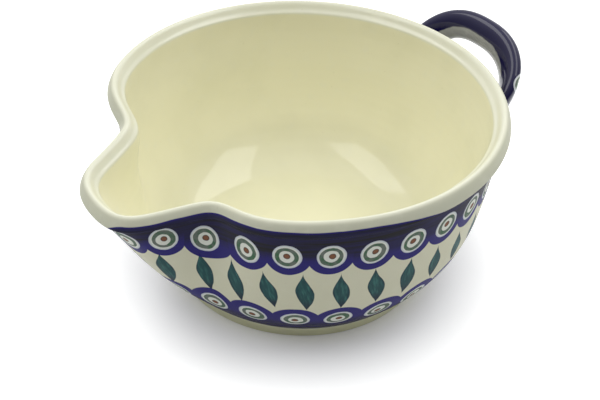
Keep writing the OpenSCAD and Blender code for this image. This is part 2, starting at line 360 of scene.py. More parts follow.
def paint_coordinates(obj, cells, ring_down, side, rows):
    """Writes, for each corner of the side's faces, its offsets from the motifs near it."""
    mesh = obj.data
    co = np.zeros(len(mesh.vertices) * 3)
    mesh.vertices.foreach_get("co", co)
    co = co.reshape(-1, 3) - AXIS
    total = len(mesh.loops)
    vert_of = np.zeros(total, int)
    mesh.loops.foreach_get("vertex_index", vert_of)
    points = co[vert_of]
    starts = np.zeros(len(mesh.polygons), int)
    mesh.polygons.foreach_get("loop_start", starts)
    sizes = np.zeros(len(mesh.polygons), int)
    mesh.polygons.foreach_get("loop_total", sizes)
    face_of = np.repeat(np.arange(len(starts)), sizes)
    column_of = np.array([j for _, j in cells])[face_of] + 0.5
    ring_of = vert_of // COLUMNS
    down = np.append(ring_down, 0.0)[ring_of]
    along, _ = side.ring_lengths(EYE_ROW_Z)
    across = vert_of % COLUMNS
    wraps = (column_of > COLUMNS - 1) & (across == 0)
    around = along[np.where(wraps, COLUMNS, across)]
    corner_attribute(obj, "side_place", "FLOAT_VECTOR",
                     np.stack([around, down, np.zeros(total)], -1))
    for name, found in rows.items():
        columns = np.array([m[0] for m in found])
        after = np.searchsorted(columns, column_of) % len(found)
        before = (after - 1) % len(found)
        near_a = np.zeros((total, 3))
        near_b = np.zeros((total, 3))
        gap = np.zeros(total)
        for i, motif in enumerate(found):
            pick = before == i
            near_a[pick] = offsets(points[pick], motif)
            pick = after == i
            near_b[pick] = offsets(points[pick], motif)
            gap[pick] = np.linalg.norm(motif[1] - found[i - 1][1])
        corner_attribute(obj, name + "_a", "FLOAT_VECTOR", near_a)
        corner_attribute(obj, name + "_b", "FLOAT_VECTOR", near_b)
        corner_attribute(obj, name + "_gap", "FLOAT", gap)


# ------------------------------------------------------------- node material
BODY_ROUGHNESS, BODY_GLOSS, COAT_ROUGHNESS = 0.3, 0.08, 0.05


class Nodes:
    """Short ways to make shader nodes. An argument is a socket or a plain value."""

    def __init__(self, name):
        self.material = bpy.data.materials.new(name)
        self.material.use_nodes = True
        self.tree = self.material.node_tree
        self.tree.nodes.clear()

    def node(self, kind, **values):
        made = self.tree.nodes.new(kind)
        for key, value in values.items():
            setattr(made, key, value)
        return made

    def put(self, socket, value):
        if isinstance(value, bpy.types.NodeSocket):
            self.tree.links.new(value, socket)
        else:
            socket.default_value = value

    def math(self, operation, a, b=None, c=None, clamp=False):
        made = self.node("ShaderNodeMath", operation=operation, use_clamp=clamp)
        for socket, value in zip(made.inputs, (a, b, c)):
            if value is not None:
                self.put(socket, value)
        return made.outputs[0]

    def add(self, a, b):
        return self.math("ADD", a, b)

    def sub(self, a, b):
        return self.math("SUBTRACT", a, b)

    def mul(self, a, b):
        return self.math("MULTIPLY", a, b)

    def step(self, value, low, high):
        """0 below low and 1 above high, smooth between."""
        made = self.node("ShaderNodeMapRange", interpolation_type="SMOOTHSTEP")
        for key, v in (("Value", value), ("From Min", low), ("From Max", high)):
            self.put(made.inputs[key], v)
        return made.outputs[0]

    def mix(self, share, a, b):
        """A colour between a and b."""
        made = self.node("ShaderNodeMix", data_type="RGBA")
        self.put(made.inputs[0], share)
        for socket, value in ((made.inputs[6], a), (made.inputs[7], b)):
            self.put(socket, value if isinstance(value, bpy.types.NodeSocket) else (*value, 1))
        return made.outputs[2]

    def blend(self, share, a, b):
        """A plain number between a and b."""
        made = self.node("ShaderNodeMix", data_type="FLOAT")
        self.put(made.inputs[0], share)
        self.put(made.inputs[2], a)
        self.put(made.inputs[3], b)
        return made.outputs[0]

    def place(self):
        return self.node("ShaderNodeTexCoord").outputs["Object"]

    def attribute(self, name):
        return self.node("ShaderNodeAttribute", attribute_name=name)

    def split(self, vector):
        made = self.node("ShaderNodeSeparateXYZ")
        self.put(made.inputs[0], vector)
        return made.outputs

    def vector(self, x, y, z):
        made = self.node("ShaderNodeCombineXYZ")
        for socket, value in zip(made.inputs, (x, y, z)):
            self.put(socket, value)
        return made.outputs[0]

    def noise(self, vector, scale, detail=2.0, rough=0.5):
        made = self.node("ShaderNodeTexNoise")
        self.put(made.inputs["Vector"], vector)
        self.put(made.inputs["Scale"], scale)
        self.put(made.inputs["Detail"], detail)
        self.put(made.inputs["Roughness"], rough)
        return made.outputs["Fac"]

    def wobble(self, vector, scale, size):
        """Noise from -size to size."""
        return self.mul(self.sub(self.noise(vector, scale, 1.0), 0.5), 2 * size)

    def bump(self, height, distance, normal=None):
        made = self.node("ShaderNodeBump")
        self.put(made.inputs["Strength"], 1.0)
        self.put(made.inputs["Distance"], distance)
        self.put(made.inputs["Height"], height)
        if normal is not None:
            self.put(made.inputs["Normal"], normal)
        return made.outputs[0]

    def glaze(self, colour, normal, coat, coat_ior, gloss=BODY_GLOSS):
        """Glazed ware: a softly glossy body under a clear, hard, shiny coat."""
        shader = self.node("ShaderNodeBsdfPrincipled")
        self.put(shader.inputs["Base Color"], colour)
        self.put(shader.inputs["Normal"], normal)
        self.put(shader.inputs["Coat Normal"], normal)
        self.put(shader.inputs["Roughness"], BODY_ROUGHNESS)
        self.put(shader.inputs["Specular IOR Level"], gloss)
        self.put(shader.inputs["Coat Weight"], coat)
        self.put(shader.inputs["Coat Roughness"], COAT_ROUGHNESS)
        self.put(shader.inputs["Coat IOR"], coat_ior)
        out = self.node("ShaderNodeOutputMaterial")
        self.tree.links.new(shader.outputs[0], out.inputs[0])
        return self.material


def srgb(r, g, b):
    """A colour named by its screen values, as the linear values a shader takes."""
    shares = (c / 255 for c in (r, g, b))
    return tuple(c / 12.92 if c <= 0.04045 else ((c + 0.055) / 1.055) ** 2.4 for c in shares)


# Cream on the side, on the lip's outer face, over the lip, inside and under the foot; the side's
# cream is darker than the inside's, as painted shade
CREAM_OUT_SHADED = srgb(229, 228, 202)
# The lip's outer face in cream darkened as painted shade, and over the lip a lighter cream, partly
# thinner glaze on the crest and partly painted light
CREAM_FACE_SHADED, CREAM_LIP_THIN_AND_LIT = srgb(210, 211, 190), srgb(240, 240, 218)
CREAM_IN = srgb(245, 242, 212)
CREAM_FOOT = srgb(240, 240, 196)
CREAM_THIN = srgb(240, 240, 222)
CREAM_POOL = srgb(218, 217, 184)
SPECK = srgb(176, 160, 124)
CLAY, CLAY_DARK, CLAY_PALE = srgb(196, 178, 146), srgb(172, 152, 120), srgb(212, 198, 168)
COBALT = srgb(34, 26, 118)
COBALT_DARK = srgb(14, 13, 26)
COBALT_PALE = srgb(74, 70, 150)
HANDLE_DARK, HANDLE_BLUE = srgb(9, 9, 12), srgb(18, 17, 25)
# The strap's bare inner face: cream glaze, painted darker and greyer as painted shade
HANDLE_BARE_SHADED = srgb(168, 168, 160)
EYE_WHITE = srgb(237, 240, 229)
EYE_BLUISH = srgb(196, 204, 222)
EYE_GREEN = srgb(60, 108, 74)
EYE_GREEN_DARK = srgb(28, 58, 46)
DOT = srgb(130, 68, 22)
DOT_EDGE = srgb(58, 38, 24)
LEAF = srgb(22, 78, 82)
LEAF_LIGHT = srgb(56, 122, 118)
LEAF_DARK = srgb(20, 42, 64)
# Heights between which the glaze gathers toward the floor, and how much of it is pooled there
POOL_FROM, POOL_TO, POOL = 48 * MM, 14 * MM, 0.38
# The glaze's places, kept in the mesh: over the lip, inside, and on the foot
OVER_LIP, INSIDE, ON_FOOT = 0.0, 1.0, 2.0
# Depths of the glaze's waves, of those inside, of its orange peel and of the throwing rings
WAVES, WAVES_INSIDE, PEEL, THROWN = 0.22 * MM, 0.14 * MM, 0.006 * MM, 0.018 * MM
RING_PITCH = 6.5 * MM
# Weight and index of the clear coat, and the gloss of the body where it isn't the usual one
SIDE_COAT, INSIDE_COAT, HANDLE_COAT = (0.24, 1.4, 0.0), (0.42, 1.85), (1.0, 1.5)


def glaze_bump(n, extra=None, depth=WAVES):
    """Slow waves of the glaze and a fine orange peel; extra is added in metres."""
    place = n.place()
    normal = n.bump(n.noise(place, 34, 1.0), depth)
    normal = n.bump(n.noise(place, 420, 1.0), PEEL, normal)
    if extra is not None:
        normal = n.bump(extra, 1.0, normal)
    return normal


CLOUD_SHARE, THIN_SHARE, SPECK_SHARE = 0.22, 0.16, 0.14


def cream(n, base, pool_share=None):
    """Cream ware under clear glaze: clouds, thin and pooled places, fine specks."""
    place = n.place()
    clouds = n.step(n.noise(place, 22, 3.0), 0.42, 0.75)
    thin = n.step(n.noise(place, 160, 2.0), 0.5, 0.8)
    specks = n.step(n.noise(place, 900, 0.0), 0.82, 0.86)
    colour = n.mix(n.mul(clouds, CLOUD_SHARE), base, CREAM_POOL)
    colour = n.mix(n.mul(thin, THIN_SHARE), colour, CREAM_THIN)
    colour = n.mix(n.mul(specks, SPECK_SHARE), colour, SPECK)
    if pool_share is not None:
        colour = n.mix(pool_share, colour, CREAM_POOL)
    return colour


# Radii of the stamped eye, from its middle outward, and of the scallop round it
DOT_R, DISC_R, GREEN_R, EYE_R, SCALLOP_R = 1.85 * MM, 3.95 * MM, 6.2 * MM, 7.7 * MM, 12.2 * MM
# Half the soft edge of paint, how ragged the eye is, and how far its rings lie off its middle
EDGE, EYE_RAGGED = 0.16 * MM, 0.28 * MM
GREEN_OFF, DISC_OFF, DOT_OFF = 0.3 * MM, 0.35 * MM, 0.5 * MM
# Whole turns of the seed that give each ring its own direction off the middle
GREEN_TURNS, DISC_TURNS, DOT_TURNS = 3, 7, 11


def length_of(n, x, y):
    return n.math("SQRT", n.add(n.mul(x, x), n.mul(y, y)))


def nearest(n, name, warp_x, warp_y):
    """The offset from the nearer of two motifs, with its seed."""
    parts = []
    for end in ("_a", "_b"):
        x, y, seed = n.split(n.attribute(name + end).outputs["Vector"])
        x, y = n.add(x, warp_x), n.add(y, warp_y)
        parts.append((x, y, seed, length_of(n, x, y)))
    (xa, ya, sa, ra), (xb, yb, sb, rb) = parts
    use_b = n.math("LESS_THAN", rb, ra)
    return n.blend(use_b, xa, xb), n.blend(use_b, ya, yb), n.blend(use_b, sa, sb)


def ring_offset(n, x, y, seed, turns, size):
    """The length of the offset from a ring's own middle, a little off the eye's."""
    angle = n.mul(seed, 2 * math.pi * turns)
    return length_of(n, n.add(x, n.mul(n.math("COSINE", angle), size)),
                     n.add(y, n.mul(n.math("SINE", angle), size)))


def inside(n, r, radius):
    """1 inside the radius and 0 outside it, with a fine soft edge."""
    return n.step(r, radius + EDGE, radius - EDGE)


def eye(n, colour, x, y, seed, rim_r, scale=1.0):
    """Paints the stamped eye over colour: pale ring, green ring, pale disc, brown dot."""
    place = n.place()
    ragged = n.wobble(place, 380, EYE_RAGGED)
    outer = n.add(rim_r, n.mul(ragged, 0.6))
    within = inside(n, outer, EYE_R * scale)
    colour = n.mix(within, colour, EYE_WHITE)
    tint = n.mul(n.step(outer, GREEN_R * scale, EYE_R * scale), 0.7)
    colour = n.mix(n.mul(tint, within), colour, EYE_BLUISH)
    green_r = n.add(ring_offset(n, x, y, seed, GREEN_TURNS, GREEN_OFF), ragged)
    disc_r = n.add(ring_offset(n, x, y, seed, DISC_TURNS, DISC_OFF), ragged)
    beyond_disc = n.sub(1.0, inside(n, disc_r, DISC_R * scale))
    green = n.mul(inside(n, green_r, GREEN_R * scale), beyond_disc)
    patchy = n.step(n.noise(place, 260, 2.0), 0.3, 0.72)
    green_colour = n.mix(patchy, EYE_GREEN_DARK, EYE_GREEN)
    colour = n.mix(n.mul(green, n.add(0.8, n.mul(patchy, 0.18))), colour, green_colour)
    dot_r = n.add(ring_offset(n, x, y, seed, DOT_TURNS, DOT_OFF), n.mul(ragged, 0.8))
    dot_colour = n.mix(n.step(dot_r, 0.5 * DOT_R, DOT_R), DOT, DOT_EDGE)
    return n.mix(n.mul(inside(n, dot_r, DOT_R * scale), 0.94), colour, dot_colour)


# Streaks of the brush in a metre, along the band and across it: broad ones and fine ones
STREAKS, FINE_STREAKS = (14.0, 260.0), (60.0, 1400.0)


def cobalt(n, along, down, dark_share):
    """Cobalt laid on with a loaded brush: dark where it is thick, streaked along."""
    broad_at = n.vector(n.mul(along, STREAKS[0]), n.mul(down, STREAKS[1]), 0.0)
    fine_at = n.vector(n.mul(along, FINE_STREAKS[0]), n.mul(down, FINE_STREAKS[1]), 0.0)
    streak, fine = n.noise(broad_at, 1.0, 3.0, 0.6), n.noise(fine_at, 1.0, 2.0)
    dark = n.mul(dark_share, n.add(0.62, n.mul(n.step(streak, 0.35, 0.65), 0.38)))
    colour = n.mix(dark, COBALT, COBALT_DARK)
    thin = n.mul(n.step(fine, 0.56, 0.8), n.add(0.05, n.mul(n.sub(1.0, dark_share), 0.12)))
    return n.mix(thin, colour, COBALT_PALE)


LEAF_HALF = (LEAF_BOTTOM - LEAF_TOP) / 2
LEAF_HALF_W, LEAF_LEAN, LEAF_BEND = 4.7 * MM, 1.4 * MM, 0.7 * MM
# How sharply the leaf draws in toward its upper and its lower point
UPPER_POWER, LOWER_POWER = 1.9, 1.25


def leaf(n, colour, name):
    """A leaf of one brush stroke: drawn out to a point above, fuller below."""
    place = n.place()
    warp_x, warp_y = n.wobble(place, 170, 0.3 * MM), n.wobble(place, 130, 0.5 * MM)
    x, y, seed = nearest(n, name, warp_x, warp_y)
    size = n.add(0.93, n.mul(seed, 0.14))
    t = n.math("DIVIDE", n.mul(y, 1 / LEAF_HALF), size)
    bend = n.mul(n.math("SINE", n.mul(t, math.pi)), n.mul(n.sub(seed, 0.2), LEAF_BEND))
    x = n.sub(x, n.add(n.mul(t, LEAF_LEAN), bend))
    away = n.math("ABSOLUTE", t)
    swell = n.math("COSINE", n.mul(n.math("MINIMUM", away, 1.0), math.pi / 2))
    swell = n.math("MAXIMUM", swell, 0.0)
    power = n.blend(n.step(t, -0.3, 0.3), UPPER_POWER, LOWER_POWER)
    half = n.mul(n.math("POWER", swell, power), n.mul(size, LEAF_HALF_W))
    side = n.math("ABSOLUTE", x)
    mask = n.step(side, n.add(half, 0.12 * MM), n.sub(half, 0.16 * MM))
    mask = n.mul(mask, n.step(away, 1.0, 0.97))
    share = n.math("DIVIDE", side, n.math("MAXIMUM", half, 0.2 * MM))
    brush = n.noise(n.vector(n.mul(x, 700.0), n.mul(y, 120.0), n.mul(seed, 40.0)), 1.0, 3.0)
    tone = n.mix(n.step(brush, 0.4, 0.8), LEAF, LEAF_LIGHT)
    edge = n.mul(n.step(share, 0.5, 1.0), 0.6)
    tip = n.mul(n.step(n.math("ABSOLUTE", n.add(t, 0.1)), 0.35, 0.9), 0.9)
    tone = n.mix(n.math("MAXIMUM", edge, tip), tone, LEAF_DARK)
    return n.mix(n.mul(mask, 0.98), colour, tone)


# The cobalt's upper edge lies up on the lip round the front of the spout and the bowl, and
# slides down to the lip's lower edge toward the handle and behind the spout; its lower edge
# lies at the foot. Distances round the bowl start at the spout's tip, more than 0 in front.
PAINT_HIGH, PAINT_TOP, PAINT_LOW = -7.7 * MM, 0.3 * MM, 106.5 * MM
SLIDE_FROM, SLIDE_TO = 150 * MM, 240 * MM
BACK_FROM, BACK_TO = 22 * MM, 2 * MM
# Between these distances the cream turns to the darker painted shade of the lip's outer face, and
# again to the crest's lighter cream, partly painted light
LIP_FACE_FROM, LIP_PALE_FROM = (-1 * MM, -4 * MM), (-10.6 * MM, -13.2 * MM)
# The gap between two eyes at which their scallops are as round as the stamp
PITCH = 22.2 * MM
# How much larger the motifs are drawn than the stamp: round and down the side
UPPER_SCALE, LOWER_SCALE = (1.02, 1.12), (1.07, 1.23)


def side_material():
    """The painted side: eyes in cobalt scallops above and below, leaves between."""
    n = Nodes("painted_side")
    place = n.place()
    along, down, _ = n.split(n.attribute("side_place").outputs["Vector"])
    warp_x, warp_y = n.wobble(place, 90, 0.3 * MM), n.wobble(place, 105, 0.3 * MM)
    slow = n.wobble(place, 45, 0.55 * MM)
    slide = n.math("MAXIMUM", n.step(n.math("ABSOLUTE", along), SLIDE_FROM, SLIDE_TO),
                   n.step(along, BACK_FROM, BACK_TO))
    from_top = n.sub(n.add(down, slow), n.blend(slide, PAINT_HIGH, PAINT_TOP))
    ragged = n.wobble(n.vector(n.mul(along, 60.0), 0.0, 0.0), 1.0, 0.8 * MM)
    from_low = n.sub(PAINT_LOW, n.add(down, n.add(n.mul(slow, 1.2), ragged)))
    # The side's cream is darker than the inside's as painted shade, and the lip's outer face darker
    # still as painted shade
    base = n.mix(n.step(down, *LIP_FACE_FROM), CREAM_OUT_SHADED, CREAM_FACE_SHADED)
    # Over the crest the cream turns lighter: thinner glaze there, and painted light
    base = n.mix(n.step(down, *LIP_PALE_FROM), base, CREAM_LIP_THIN_AND_LIT)
    colour = leaf(n, cream(n, base), "leaf")
    for name, sign, scale in (("upper", 1.0, UPPER_SCALE), ("lower", -1.0, LOWER_SCALE)):
        x, y, seed = nearest(n, name, warp_x, warp_y)
        x, y = n.mul(x, 1 / scale[0]), n.mul(y, 1 / scale[1])
        r = length_of(n, x, y)
        if sign > 0:
            edge = n.step(from_top, -EDGE, EDGE)
            heavy = n.mul(n.step(from_top, 0.2 * MM, 1.3 * MM), n.step(y, 5 * MM, -3 * MM))
        else:
            edge = n.step(from_low, -0.3 * MM, 0.3 * MM)
            heavy = n.mul(n.step(y, 0.0, 8 * MM), 0.75)
        sx = n.mul(x, n.math("DIVIDE", PITCH, n.attribute(name + "_gap").outputs["Fac"]))
        scallop_r = n.add(length_of(n, sx, y), slow)
        beyond = n.step(n.mul(y, sign), EDGE, -EDGE)
        blue = n.mul(n.math("MAXIMUM", beyond, inside(n, scallop_r, SCALLOP_R)), edge)
        colour = n.mix(n.mul(blue, 0.985), colour, cobalt(n, along, down, heavy))
        colour = eye(n, colour, x, y, seed, r)
    return n.glaze(colour, glaze_bump(n), *SIDE_COAT)


def inner_material():
    """The plain glaze: over the lip, inside with faint throwing rings, and under the foot."""
    n = Nodes("cream_glaze")
    place = n.place()
    _, _, z = n.split(place)
    where = n.attribute("glaze_place").outputs["Fac"]
    inside_share = n.math("MAXIMUM", n.sub(1.0, n.math("ABSOLUTE", n.sub(where, INSIDE))), 0.0)
    # Over the lip the cream is lighter, partly thin glaze and partly painted light; inside it is
    # lighter than the side's painted shade
    base = n.mix(n.step(where, OVER_LIP, INSIDE), CREAM_LIP_THIN_AND_LIT, CREAM_IN)
    base = n.mix(n.step(where, INSIDE, ON_FOOT), base, CREAM_FOOT)
    pool_share = n.mul(n.mul(n.step(z, POOL_FROM, POOL_TO), inside_share), POOL)
    colour = cream(n, base, pool_share)
    turns = n.add(n.mul(z, 2 * math.pi / RING_PITCH), n.mul(n.noise(place, 9, 1.0), 7.0))
    rings = n.mul(n.mul(n.math("SINE", turns), inside_share), THROWN)
    return n.glaze(colour, glaze_bump(n, rings, WAVES_INSIDE), *INSIDE_COAT)


def clay_material():
    """Bare fired clay on the ground edge of the foot ring."""
    n = Nodes("bare_clay")
    place = n.place()
    grains = n.step(n.noise(place, 700, 3.0), 0.35, 0.7)
    rubbed = n.mul(n.step(n.noise(place, 60, 2.0), 0.5, 0.8), 0.4)
    colour = n.mix(rubbed, n.mix(grains, CLAY, CLAY_DARK), CLAY_PALE)
    shader = n.node("ShaderNodeBsdfPrincipled")
    n.put(shader.inputs["Base Color"], colour)
    n.put(shader.inputs["Roughness"], 0.85)
    n.put(shader.inputs["Normal"], n.bump(n.noise(place, 1500, 3.0), 0.05 * MM))
    out = n.node("ShaderNodeOutputMaterial")
    n.tree.links.new(shader.outputs[0], out.inputs[0])
    return n.material


# The bare inner face of the strap lies between these angles round its section,
# which starts outward and turns down; its edge is ragged, soft, and rubbed thin beside it
BARE_FROM, BARE_TO = 92, 171
BARE_RAGGED, BARE_SOFT, BARE_RUBBED = 5.0, 3, 14
# Places of the stamped eye: a share of the way along and a side of the section
HANDLE_EYE_ALONG, HANDLE_EYE_SPOT, HANDLE_EYE_SCALE = 0.178, 51, 0.86
FIRST_EYE_SEED, LAST_EYE_SEED = 0.35, 0.8


def handle_material(name):
    """Cobalt all round the strap but for its inner face, and a stamped eye at each root."""
    n = Nodes(name)
    place = n.place()
    along, angle, _ = n.split(n.attribute("strap_place").outputs["Vector"])
    turned = n.add(angle, n.wobble(place, 130, BARE_RAGGED))
    bare = n.mul(n.step(turned, BARE_FROM - BARE_SOFT, BARE_FROM + BARE_SOFT),
                 n.step(turned, BARE_TO + BARE_SOFT, BARE_TO - BARE_SOFT))
    brush = n.noise(n.vector(n.mul(along, 22.0), n.mul(angle, 0.035), 0.0), 1.0, 1.0, 0.5)
    blue = n.mix(n.step(brush, 0.3, 0.62), HANDLE_BLUE, HANDLE_DARK)
    rubbed = n.math("MAXIMUM", n.step(turned, BARE_FROM - BARE_RUBBED, BARE_FROM),
                    n.step(turned, BARE_TO + BARE_RUBBED, BARE_TO))
    blue = n.mix(n.mul(rubbed, 0.25), blue, COBALT)
    # The bare inner face takes its cream darkened as painted shade
    colour = n.mix(bare, blue, cream(n, HANDLE_BARE_SHADED))
    if name == "handle_paint":
        x, y, seed = n.split(n.attribute("strap_eye").outputs["Vector"])
        colour = eye(n, colour, x, y, seed, length_of(n, x, y), HANDLE_EYE_SCALE)
    return n.glaze(colour, glaze_bump(n), *HANDLE_COAT)


# ----------------------------------------------------------------- the pieces
def finish_piece(obj, node):
    """Lets a piece ride on the one body, in place of a CAD node."""
    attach(obj, "root")
    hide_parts(node)


def lip_inner_rings():
    """Down the lip's inner face and over its inner edge."""
    crest, fall = np.array([ROLL_IN, 0]), np.array([LIP_W - ROLL_IN, LIP_SLOPE])
    return [lip_ring(*(crest + fall * share)) for share in INNER_FACE_SHARES]


def roll_points():
    """The lip's outer face in section, from its widest place up to the crest."""
    a = np.radians(np.linspace(0, 90, ROLL_STEPS + 1))
    return np.stack([ROLL_IN * (1 - np.cos(a) ** ROLL_POWER),
                     ROLL_DOWN * (1 - np.sin(a) ** ROLL_POWER)], -1)


def foot_rings():
    """From the middle of the foot's hollow over its ground edge to the foot ring's top.

    Also gives the first and last row of faces of bare clay on the ground edge."""
    bevel = [(FOOT_BEVEL * (1 - math.sin(a)), FOOT_BEVEL * (1 - math.cos(a)))
             for a in np.radians([0, 30, 60, 90])]
    rings = [bowl_ring(RECESS_R * s, 0, RECESS_H) for s in RECESS_SHARES]
    rings.append(bowl_ring(RECESS_R * RECESS_CORNER_SHARE, 0, RECESS_H - RECESS_CORNER_HIGH))
    rings.append(bowl_ring(RECESS_R, 0, RECESS_H - RECESS_CORNER_LOW))
    rings += [bowl_ring(RECESS_R + out, 0, z) for z, out in bevel]
    clay_first = len(rings) - 1
    rings += [bowl_ring(FOOT_R - back, 0, z) for back, z in bevel]
    low, high = np.array([FOOT_R, FOOT_BEVEL]), np.array([FOOT_TOP_R, FOOT_H])
    for share in FOOT_SHARES:
        r, z = low + (high - low) * share
        rings.append(bowl_ring(r, 0, z))
    return rings, (clay_first, clay_first + 1)


def eye_row(side):
    """Columns and distances down of the upper eyes: round the spout, then the rest."""
    spout = [SPOUT_EYE_FIRST + SPOUT_EYE_STEP * i for i in range(len(SPOUT_EYE_DOWNS))]
    _, total = side.ring_lengths(EYE_ROW_Z)
    start = spout[-1] + PINCH_GAP
    end = total + spout[0] - PINCH_GAP
    lengths = spout + [start + (end - start) * i / (ROUND_EYES - 1) for i in range(ROUND_EYES)]
    columns = [column_at_length(side, EYE_ROW_Z, u) for u in lengths]
    return columns, SPOUT_EYE_DOWNS + [EYE_DOWN] * ROUND_EYES


def even_row(side, down, first, count):
    """Columns and distances down of motifs at even angles round the bowl."""
    columns = [column_at_azimuth(side, down, first + 360 * i / count) for i in range(count)]
    return columns, [down] * count


def ornament(side):
    """The three rows of motifs on the side."""
    rng = random.Random(7)
    leaf_mid = (LEAF_TOP + LEAF_BOTTOM) / 2
    return {
        "upper": motifs(side, *eye_row(side), rng),
        "leaf": motifs(side, *even_row(side, leaf_mid, LEAF_FIRST, LEAF_COUNT), rng, LEAF_TURN),
        "lower": motifs(side, *even_row(side, LOWER_DOWN, LOWER_FIRST, LOWER_COUNT), rng),
    }


def make_bowl():
    """The one-piece bowl, from the middle of the foot's hollow round to the floor."""
    rings, clay_rows = foot_rings()
    side = Side()
    side_first = len(rings)
    ring_down = [0.0] * side_first
    rings += [bowl_ring(r, SIDE_IN, z) for r, z in SIDE_PROFILE]
    ring_down += list(side.down[::-1])
    under = np.radians(np.linspace(0, 90, UNDER_STEPS + 1))
    rings += [lip_ring(LIP_UNDER * (1 - math.sin(a)), LIP_H - LIP_UNDER * (1 - math.cos(a)))
              for a in under]
    ring_down += [LIP_UNDER - SIDE_IN - LIP_UNDER * a for a in under]
    roll = roll_points()
    rings += [lip_ring(*point) for point in roll[1:]]
    ring_down += list(ring_down[-1] - np.cumsum(np.linalg.norm(np.diff(roll, axis=0), axis=1)))
    painted_last = len(rings) - CREST_RINGS
    rings += lip_inner_rings()
    inside_first = len(rings) - 1
    rings += [bowl_ring(r, LIP_W, z) for r, z in INSIDE_PROFILE[1:3]]
    rings += [eased(bowl_ring(r, LIP_W, z), min(EASE_STEP * i, EASE_PASSES))
              for i, (r, z) in enumerate(INSIDE_PROFILE[3:])]
    rings += [bowl_ring(FLOOR_R * s, LIP_W, FLOOR_Z) for s in FLOOR_SHARES]
    ring_down += [0.0] * (len(rings) - len(ring_down))
    rings = [ring + AXIS for ring in rings]
    pole_low, pole_high = AXIS + [0, 0, RECESS_H], AXIS + [0, 0, FLOOR_Z]
    obj, cells = grid_mesh("glazed_bowl", rings, pole_low, pole_high)
    for material in (inner_material(), side_material(), clay_material()):
        obj.data.materials.append(material)
    row = np.array([k for k, _ in cells])
    which = np.where((row >= side_first) & (row < painted_last), 1, 0)
    which[(row >= clay_rows[0]) & (row <= clay_rows[1])] = 2
    obj.data.polygons.foreach_set("material_index", which.astype(np.int32))
    where = np.full(len(obj.data.vertices), OVER_LIP, np.float32)
    where[inside_first * COLUMNS:len(rings) * COLUMNS] = INSIDE
    where[:side_first * COLUMNS] = ON_FOOT
    where[-2:] = ON_FOOT, INSIDE
    glaze_place = obj.data.attributes.new("glaze_place", "FLOAT", "POINT")
    glaze_place.data.foreach_set("value", where)
    paint_coordinates(obj, cells, ring_down, side, ornament(side))
    finish_piece(obj, "bowl_body")


def strap_coordinates(obj, rings, eyes):
    """Along the strap and round its section for each corner, and offsets from its eye."""
    mesh = obj.data
    total = len(mesh.loops)
    vert_of = np.zeros(total, int)
    mesh.loops.foreach_get("vertex_index", vert_of)
    mids = np.array([ring.mean(0) for ring in rings])
    along = np.concatenate([[0], np.cumsum(np.linalg.norm(np.diff(mids, axis=0), axis=1))])
    poly_of = np.repeat(np.arange(len(mesh.polygons)), [p.loop_total for p in mesh.polygons])
    ring_of = np.minimum(vert_of // STRAP_SIDES, len(rings) - 1)
    spot = vert_of % STRAP_SIDES
    most = np.zeros(len(mesh.polygons), int)
    np.maximum.at(most, poly_of, spot)
    wraps = (spot == 0) & (most[poly_of] == STRAP_SIDES - 1)
    angle = 360.0 * np.where(wraps, STRAP_SIDES, spot) / STRAP_SIDES
    corner_attribute(obj, "strap_place", "FLOAT_VECTOR",
                     np.stack([along[ring_of], angle, np.zeros(total)], -1))
    near = np.full((total, 3), 1.0)
    line = np.array([ring[HANDLE_EYE_SPOT] for ring in rings])
    run = np.concatenate([[0], np.cumsum(np.linalg.norm(np.diff(line, axis=0), axis=1))])
    first_ring = np.minimum.reduceat(ring_of, np.array([p.loop_start for p in mesh.polygons]))
    for ring_0, seed in eyes:
        loop = np.linalg.norm(rings[ring_0] - np.roll(rings[ring_0], 1, 0), axis=1)
        girth = np.append(np.cumsum(loop) - loop[0], loop.sum())
        x = run[ring_of] - run[ring_0]
        y = girth[np.where(wraps, STRAP_SIDES, spot)] - girth[HANDLE_EYE_SPOT]
        mine = (np.abs(first_ring - ring_0) < len(rings) // 2)[poly_of]
        near[mine] = np.stack([x, y, np.full(total, seed)], -1)[mine]
    corner_attribute(obj, "strap_eye", "FLOAT_VECTOR", near)


def make_handle():
    """The loop handle, from one root over the arch to the other."""
    first_root = root_ring(0, SLIP_TOP)
    straight = section(np.array([0, -1.0, 0]), np.array([0, 0, 1.0]))
    straight = np.stack([np.full(STRAP_SIDES, ROOT_X), straight[:, 1] - ROOT_HALF_GAP,
                         straight[:, 2] + ROOT_Z], -1)
    near = [first_root * (1 - s) + straight * s for s in (0, 0.25, 0.5, 0.75, 1)]
    angles = [-ARCH_START + 2 * ARCH_START * i / STRAP_STEPS for i in range(STRAP_STEPS + 1)]
    far = [ring * [1, -1, 1] for ring in near[::-1]]
    rings = [ring + AXIS for ring in near + [strap_ring(a) for a in angles] + far]
    obj, _ = grid_mesh("painted_loop_handle", rings, rings[0].mean(0), rings[-1].mean(0))
    first = int(round(HANDLE_EYE_ALONG * (len(rings) - 1)))
    last = len(rings) - 1 - first
    strap_coordinates(obj, rings, [(first, FIRST_EYE_SEED), (last, LAST_EYE_SEED)])
    obj.data.materials.append(handle_material("handle_paint"))
    finish_piece(obj, "loop_handle")


